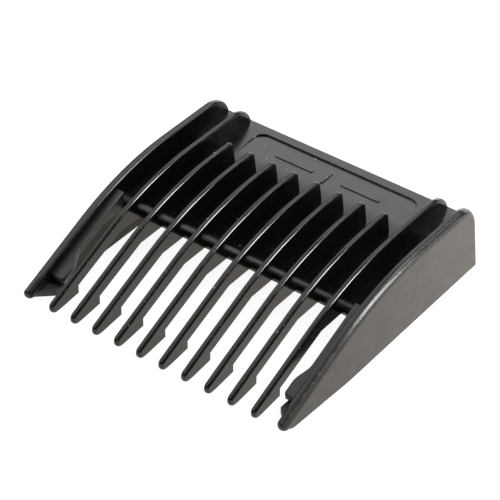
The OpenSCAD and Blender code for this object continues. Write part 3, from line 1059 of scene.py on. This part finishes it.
class COMB_OT_cheeks(PieceMaker, bpy.types.Operator):
    """Models the two side walls that the comb stands on"""
    bl_idname = "comb.cheeks"
    bl_label = "Cheeks"

    def make(self, context, s, lines):
        """Both cheeks, each drawn from its inner to its outer face."""
        for name, side in (("left_cheek", -1), ("right_cheek", 1)):
            outline = Outline()
            edge = (s.cheek_inner_r, s.cheek_outer_r)
            ahead, below = -0.004, -0.008   # cut off again by what follows
            outline.to(ahead, lines.slope_z(ahead, s.cheek_h), edge)
            lines.slope_and_crown(outline, s.cheek_h, edge)
            z = s.cheek_h - s.heel_r
            y = lines.rear_y(z) - s.heel_r / math.cos(s.rear_lean)
            outline.arc((y, z), s.heel_r, math.pi / 2, s.rear_lean, 24,
                        edge)
            outline.to(lines.rear_y(below), below)
            outline.to(ahead, below)
            piece = draw_solid(lines, name + "_moulded", outline,
                               side * s.inner_x,
                               side * (s.inner_x + s.cheek_t), segments=8)
            x = side * (s.inner_x + s.cheek_t / 2)
            slope_underside(lines, piece, x, s.cheek_t, s.cheek_tip_lift,
                            s.cheek_foot_y)
            slope = -math.atan(s.cheek_tip_lift / s.cheek_foot_y)
            tip_end, edge_start = 0.0026, 0.003
            round_tip(lines, piece, x, s.cheek_t, s.cheek_h,
                      s.cheek_tip_lift, slope, tip_end)

            def lower(p, q):
                """Whether an edge is a lower one, behind the tip."""
                middle = (p + q) / 2
                y = middle.y + lines.mid
                rise = s.cheek_tip_lift * max(0, 1 - y / s.cheek_foot_y)
                outside = (abs(abs(middle.x) - s.inner_x) < TOUCH
                           or abs(abs(middle.x) - s.inner_x - s.cheek_t)
                           < TOUCH)
                return (outside and y > edge_start
                        and abs(p.x - q.x) < SAME
                        and abs(middle.z - rise) < 20 * TOUCH)

            bevel_edges(piece, lower, s.low_edge_r, 3)
            if side > 0:
                self.parting_nub(piece, s, lines)
            smooth(piece)
            finish_piece(piece, "satin_plastic", cheek_finish(), name)

    def parting_nub(self, piece, s, lines):
        """A small nub, left where the moulding was cut from its runner."""
        rise = s.cheek_tip_lift * (1 - s.nub_y / s.cheek_foot_y)
        clear_selection()
        bpy.ops.mesh.primitive_cylinder_add(
            vertices=20, radius=s.nub_r, depth=2 * s.nub_r,
            location=(s.inner_x + 0.7 * s.cheek_t, s.nub_y - lines.mid,
                      rise + 0.35 * s.nub_r))
        nub = bpy.context.object
        bpy.ops.object.transform_apply(location=True, rotation=False,
                                       scale=False)
        bevel_edges(nub, lambda p, q: max(p.z, q.z) < rise, s.nub_edge_r,
                    3)
        take(piece)
        nub.select_set(True)
        bpy.ops.object.join()


class COMB_OT_teeth(PieceMaker, bpy.types.Operator):
    """Models one short tooth and copies it to its eight places"""
    bl_idname = "comb.teeth"
    bl_label = "Short teeth"

    def make(self, context, s, lines):
        """The short teeth."""
        outline = tooth_front(lines)
        edge = (s.tooth_edge_r,) * 2
        lean_y = s.short_len + lines.deck_z(s.short_len) * lines.lean
        z = s.tooth_h - s.short_corner_r
        y = (lean_y - z * lines.lean
             - s.short_corner_r / math.cos(s.rear_lean))
        outline.arc((y, z), s.short_corner_r, math.pi / 2, s.rear_lean, 8,
                    edge)
        outline.to(s.short_len, lines.deck_z(s.short_len))
        tooth_foot(lines, outline)
        first = draw_solid(lines, "tooth_2_moulded", outline,
                           -s.tooth_t / 2, s.tooth_t / 2)
        tooth_tip(lines, first)
        smooth(first)
        for number in range(3, 10):
            copy_to(first, "tooth_%d_moulded" % number,
                    lines.tooth_x(number))
        shift(first, lines.tooth_x(2))
        for number in range(2, 10):
            finish_piece(bpy.data.objects["tooth_%d_moulded" % number],
                         "polished_plastic", tooth_finish(),
                         "comb_tooth_%d" % number)


def tooth_front(lines):
    """Starts a tooth's outline: its slope and crown."""
    s = lines.s
    outline = Outline()
    lines.slope_and_crown(outline, s.tooth_h, (s.tooth_edge_r,) * 2)
    return outline


def tooth_tip(lines, piece):
    """Gives a tooth that stands at x = 0 its round tip."""
    s = lines.s
    tip_end = 0.0018
    round_tip(lines, piece, 0, s.tooth_t, s.tooth_h, s.tooth_tip_lift,
              tooth_under(s), tip_end)


def tooth_under(s):
    """Slope of the underside of a tooth's hook."""
    return math.atan((s.hook_lift - s.tooth_tip_lift) / s.blade_front)


def tooth_foot(lines, outline):
    """Ends a tooth's outline: the web that it stands on, its thin
    underside, its hook and its blunt tip."""
    s = lines.s
    edge = (s.tooth_edge_r,) * 2
    lines.lip(outline, 8)
    fine = (s.fine_edge_r,) * 2
    outline.to(s.web_front, s.blade_top, fine)
    outline.to(lines.bevel_end, s.blade_top, fine)
    outline.to(s.blade_front, s.blade_edge_h, fine)
    outline.to(s.blade_front, s.hook_lift, edge)
    lines.nose(outline, s.tooth_h, s.tooth_tip_lift, tooth_under(s),
               s.tip_top_r, s.tip_low_r, edge)


class COMB_OT_guide_ribs(PieceMaker, bpy.types.Operator):
    """Models the outer tooth that runs on to the rear edge, and its twin"""
    bl_idname = "comb.guide_ribs"
    bl_label = "Guide ribs"

    def make(self, context, s, lines):
        """The two guide ribs."""
        outline = tooth_front(lines)
        edge = (s.tooth_edge_r,) * 2
        z = s.tooth_h - s.heel_r
        y = lines.rear_y(z) - s.heel_r / math.cos(s.rear_lean)
        steps = 40
        for i in range(steps + 1):
            turn = math.pi / 2 * (1 - i / steps)
            at = (y + s.heel_r * math.cos(turn),
                  z + s.heel_r * math.sin(turn))
            if at[1] < lines.rim_z(at[0]):
                break
            outline.to(*at, edge)
        sunk = 0.0001
        foot = at[0] - 2 * sunk
        outline.to(at[0], lines.rim_z(at[0]) - sunk)
        outline.to(foot, lines.rim_z(foot) - sunk)
        outline.to(lines.rim_y, lines.deck_z(lines.rim_y) - sunk)
        outline.to(s.short_len, lines.deck_z(s.short_len))
        tooth_foot(lines, outline)
        first = draw_solid(lines, "guide_rib_1_moulded", outline,
                           -s.tooth_t / 2, s.tooth_t / 2)
        tooth_tip(lines, first)
        smooth(first)
        right = copy_to(first, "guide_rib_10_moulded", lines.tooth_x(10))
        shift(first, lines.tooth_x(1))
        finish_piece(first, "polished_plastic", tooth_finish(),
                     "guide_rib_left")
        finish_piece(right, "polished_plastic", tooth_finish(),
                     "guide_rib_right")


class COMB_OT_web(PieceMaker, bpy.types.Operator):
    """Models the thin web that joins the teeth, with its front lip"""
    bl_idname = "comb.web"
    bl_label = "Web"

    def make(self, context, s, lines):
        """The web."""
        outline = Outline()
        outline.to(s.short_len, lines.under_z(s.short_len))
        outline.to(s.short_len, lines.deck_z(s.short_len))
        lines.lip(outline, 14)
        outline.points.pop()
        outline.radii.pop()
        top = s.blade_top + s.web_edge_t
        back = 0.001
        outline.corner((s.web_front + back,
                        top + back * math.tan(s.lip_angle)),
                       (s.web_front, top), (s.web_front, s.blade_top),
                       s.web_edge_r, 4)
        outline.to(s.web_front, s.blade_top)
        outline.to(lines.lip_y, s.blade_top)
        piece = draw_solid(lines, "web_moulded", outline, -s.inner_x,
                           s.inner_x)
        smooth(piece, 20)
        finish_piece(piece, "polished_plastic", deck_finish(), "web_plate")


class COMB_OT_deck(PieceMaker, bpy.types.Operator):
    """Models the deck behind the teeth, with its rim and label recess"""
    bl_idname = "comb.deck"
    bl_label = "Deck"

    def make(self, context, s, lines):
        """The deck."""
        outline = Outline()
        outline.to(s.short_len, lines.under_z(s.short_len))
        outline.to(s.short_len, lines.deck_z(s.short_len))
        outline.to(lines.rim_y, lines.deck_z(lines.rim_y))
        rear_top = lines.rear_foot(lines.rim_z)
        rear_low = lines.rear_foot(lines.under_z)
        outline.corner((lines.rim_y, lines.deck_z(lines.rim_y)), rear_top,
                       rear_low, s.rim_edge_r, 6)
        outline.to(*rear_low)
        piece = draw_solid(lines, "deck_moulded", outline, -s.inner_x,
                           s.inner_x)
        self.recess(piece, s, lines)
        smooth(piece)
        finish_piece(piece, "polished_plastic", deck_finish(), "label_deck")

    def recess(self, piece, s, lines):
        """Cuts the label recess and rounds its edges."""
        back = lines.rim_rear - s.label_back
        half = s.label_w / 2
        start = lines.rim_y - 0.0006
        outline = Outline()
        outline.to(-half, start)
        outline.arc((-half + s.label_r, back - s.label_r), s.label_r,
                    math.pi, math.pi / 2, 12)
        outline.arc((half - s.label_r, back - s.label_r), s.label_r,
                    math.pi / 2, 0, 12)
        outline.to(half, start)
        clear = 2 * WELD
        cutter = draw_face(
            "recess_cutter", outline,
            lambda a, b: Vector((a, b - lines.mid,
                                 lines.deck_z(b) + clear)))
        pull((0, 0, 3 * CUT_PAST))
        cut_with(piece, cutter, "DIFFERENCE")
        bevel_start = lines.rim_y + 0.0004

        def on_rim(p):
            """Whether a point is on the edge of the recess."""
            y = p.y + lines.mid
            return (abs(p.z - lines.rim_z(y)) < 2 * TOUCH
                    and abs(p.x) < half + TOUCH
                    and bevel_start < y < back + TOUCH)

        bevel_edges(piece, lambda p, q: on_rim(p) and on_rim(q),
                    s.label_edge_r, 3)


class COMB_OT_size_mark(PieceMaker, bpy.types.Operator):
    """Raises a plain number in the label recess"""
    bl_idname = "comb.size_mark"
    bl_label = "Size mark"

    def make(self, context, s, lines):
        """The number, which reads from the rear, between two bars."""
        clear_selection()
        bpy.ops.object.text_add(location=(0, 0, 0))
        mark = context.object
        mark.name = "size_mark"
        mark.data.body = s.mark_text
        mark.data.align_x = "CENTER"
        mark.data.align_y = "CENTER"
        mark.data.size = s.mark_h / CAP_SHARE
        mark.data.extrude = s.mark_half_t
        mark.data.bevel_depth = s.mark_edge_r
        mark.data.bevel_resolution = 1
        bpy.ops.object.convert(target="MESH")
        mark = context.object
        place = Vector((0, s.mark_y - lines.mid,
                        lines.deck_z(s.mark_y) + s.mark_half_t))
        mark.rotation_euler = (-s.deck_angle, 0, math.pi)
        mark.location = place
        bpy.ops.object.transform_apply(location=True, rotation=True,
                                       scale=True)
        bars = []
        bar_h = 0.0002
        for side in (-1, 1):
            clear_selection()
            bpy.ops.mesh.primitive_cube_add(size=1.0)
            bar = context.object
            bar.scale = (s.bar_w, s.bar_t, bar_h)
            bar.rotation_euler = (s.deck_angle, 0, 0)
            bar.location = place + Vector((side * s.bar_x, 0, 0))
            bpy.ops.object.transform_apply(location=True, rotation=True,
                                           scale=True)
            bevel_edges(bar, lambda p, q: abs(p.z - q.z) > bar_h / 2,
                        0.3 * s.bar_t, 5)
            bars.append(bar)
        take(mark)
        for bar in bars:
            bar.select_set(True)
        bpy.ops.object.join()
        weld(mark, WELD / 2)
        bpy.ops.object.mode_set(mode="EDIT")
        bpy.ops.mesh.select_all(action="SELECT")
        bpy.ops.mesh.normals_make_consistent(inside=False)
        bpy.ops.object.mode_set(mode="OBJECT")
        smooth(mark)
        finish_piece(mark, "polished_plastic", deck_finish())


class COMB_OT_rear_wall(PieceMaker, bpy.types.Operator):
    """Models the wall that closes the rear, and the catch on it"""
    bl_idname = "comb.rear_wall"
    bl_label = "Rear wall and catch"

    def make(self, context, s, lines):
        """The rear wall and its catch."""
        outer = lines.rear_foot(lines.under_z)
        inner = (lines.wall_y(lines.under_z(outer[0] - s.wall_t)),
                 lines.under_z(outer[0] - s.wall_t))
        low_in = (lines.wall_y(s.wall_low), s.wall_low)
        low_out = (lines.rear_y(s.wall_low), s.wall_low)
        outline = Outline()
        outline.to(*inner)
        outline.to(*outer)
        outline.corner(outer, low_out, low_in, s.wall_out_r, 5)
        outline.corner(low_out, low_in, inner, s.wall_in_r, 4)
        wall = draw_solid(lines, "rear_wall_moulded", outline, -s.inner_x,
                          s.inner_x)
        smooth(wall)
        finish_piece(wall, "satin_plastic", lug_finish(), "rear_wall")
        top = s.blade_top - s.heel_t
        nose = lines.wall_y(top) - s.catch_reach
        outline = Outline()
        root = (lines.wall_y(top), top)
        low = (nose, top - s.catch_edge_t)
        outline.to(*low_in)
        end = (s.catch_end_r,) * 2
        outline.to(*root, end)
        outline.corner(root, (nose, top), low, s.catch_nose_r, 4, end)
        outline.corner((nose, top), low, low_in, s.catch_nose_r, 4, end,
                       end)
        catch = draw_solid(lines, "rear_catch_moulded", outline,
                           -s.catch_w / 2, s.catch_w / 2)
        smooth(catch)
        finish_piece(catch, "satin_plastic", lug_finish(), "rear_catch")


class COMB_OT_lugs(PieceMaker, bpy.types.Operator):
    """Models the lugs and ledges over the corners of the blade"""
    bl_idname = "comb.lugs"
    bl_label = "Blade lugs"

    def make(self, context, s, lines):
        """Both lugs."""
        for name, side in (("left_blade_lug", -1), ("right_blade_lug", 1)):
            outline = Outline()
            outline.to(s.lug_front, lines.bevel_z(s.lug_front))
            outline.to(s.lug_front, lines.lug_top(s.lug_front))
            outline.to(s.web_front, lines.lug_top(s.web_front))
            outline.to(s.web_front, s.blade_top)
            outline.to(lines.bevel_end, s.blade_top)
            piece = draw_solid(lines, name + "_moulded", outline,
                               side * (s.inner_x - s.lug_w - CUT_PAST),
                               side * s.inner_x)
            plan = Outline()
            x = s.inner_x + CUT_PAST
            front, rear = s.lug_front - CUT_PAST, s.web_front + CUT_PAST
            plan.to(side * x, front)
            plan.to(side * x, rear)
            plan.to(side * (s.inner_x - s.ledge_w), rear)
            steps = 20
            for i in range(steps + 1):
                reach = s.ledge_w + (s.lug_w - s.ledge_w) * (
                    1 - math.cos(math.pi * i / steps)) / 2
                plan.to(side * (s.inner_x - reach),
                        s.lug_narrow - (s.lug_narrow - s.lug_wide_end)
                        * i / steps)
            corner = s.lug_front + s.lug_corner
            plan.to(side * (s.inner_x - s.lug_w), corner)
            plan.to(side * (s.inner_x - s.lug_w + s.lug_corner),
                    s.lug_front)
            plan.to(side * (s.inner_x - s.lug_w + s.lug_corner), front)
            keep = draw_face("lug_plan", plan,
                             lambda a, b: Vector((a, b - lines.mid, 0)))
            pull((0, 0, 20 * CUT_PAST))
            cut_with(piece, keep, "INTERSECT")

            def on_top(p):
                """Whether a point is on the top of the lug."""
                y = p.y + lines.mid
                return abs(p.z - lines.lug_top(y)) < 3 * TOUCH

            def shown(p, q):
                """Whether an edge of the top is free."""
                middle = (p + q) / 2
                return (on_top(p) and on_top(q)
                        and abs(middle.x) < s.inner_x - TOUCH
                        and middle.y + lines.mid < s.web_front - TOUCH)

            bevel_edges(piece, shown, s.lug_edge_r, 5)
            smooth(piece)
            finish_piece(piece, "satin_plastic", lug_finish(), name)


class COMB_OT_feet(PieceMaker, bpy.types.Operator):
    """Models the small feet inside the cheeks' tips"""
    bl_idname = "comb.feet"
    bl_label = "Tip feet"

    def make(self, context, s, lines):
        """Both feet."""
        for name, side in (("left_tip_foot", -1), ("right_tip_foot", 1)):
            plan = Outline()
            # The front corner is sunk in the cheek, behind its round tip
            sunk, start = 0.3 * s.cheek_t, 0.75 * s.cheek_t
            plan.to(side * (s.inner_x + sunk), start)
            plan.to(side * s.inner_x, s.blade_front)
            plan.to(side * (s.inner_x - s.foot_w), s.blade_front)
            plan.to(side * (s.inner_x - s.foot_w),
                    s.blade_front - s.foot_edge)
            piece = draw_face(name + "_moulded", plan,
                              lambda a, b: Vector((a, b - lines.mid, 0)))
            pull((0, 0, s.foot_top))
            slope = -s.cheek_tip_lift / s.cheek_foot_y
            bpy.ops.object.mode_set(mode="EDIT")
            bpy.ops.mesh.select_all(action="SELECT")
            bpy.ops.mesh.bisect(
                plane_co=(0, -lines.mid, s.cheek_tip_lift),
                plane_no=(0, -slope, 1), use_fill=True, clear_inner=True)
            bpy.ops.object.mode_set(mode="OBJECT")

            upright = 0.0004    # edges that rise by more are upright ones

            def free(p, q):
                """Whether an edge is a free upper or upright one."""
                middle = (p + q) / 2
                return (abs(middle.x) < s.inner_x - TOUCH
                        and (abs(middle.z - s.foot_top) < TOUCH
                             or abs(p.z - q.z) > upright))

            bevel_edges(piece, free, s.foot_edge_r, 4)
            smooth(piece)
            finish_piece(piece, "satin_plastic", lug_finish(), name)


OPERATORS = (COMB_OT_stage, COMB_OT_cheeks, COMB_OT_teeth,
             COMB_OT_guide_ribs, COMB_OT_web, COMB_OT_deck,
             COMB_OT_size_mark, COMB_OT_rear_wall, COMB_OT_lugs,
             COMB_OT_feet)


class COMB_PT_maker(bpy.types.Panel):
    """Lists the steps that make the comb"""
    bl_idname = "COMB_PT_maker"
    bl_label = "Guard Comb"
    bl_space_type = "VIEW_3D"
    bl_region_type = "UI"
    bl_category = "Guard Comb"

    def draw(self, context):
        """One button for each step."""
        for operator in OPERATORS:
            self.layout.operator(operator.bl_idname)


CLASSES = (CombSizes, CombFinish, StageSettings) + OPERATORS + (
    COMB_PT_maker,)


def register():
    """Registers the classes and hangs the properties on the scene."""
    for made in CLASSES:
        bpy.utils.register_class(made)
    bpy.types.Scene.comb_sizes = PointerProperty(type=CombSizes)
    bpy.types.Scene.comb_finish = PointerProperty(type=CombFinish)
    bpy.types.Scene.comb_stage = PointerProperty(type=StageSettings)


def unregister():
    """Takes the properties and classes away again."""
    del bpy.types.Scene.comb_stage
    del bpy.types.Scene.comb_finish
    del bpy.types.Scene.comb_sizes
    for made in reversed(CLASSES):
        bpy.utils.unregister_class(made)


def main():
    """Makes the stage and every piece."""
    register()
    for operator in OPERATORS:
        section, name = operator.bl_idname.split(".")
        done = getattr(getattr(bpy.ops, section), name)()
        if done != {"FINISHED"}:
            raise RuntimeError(operator.bl_label + " did not finish")
    clear_selection()


if __name__ == "__main__":
    main()
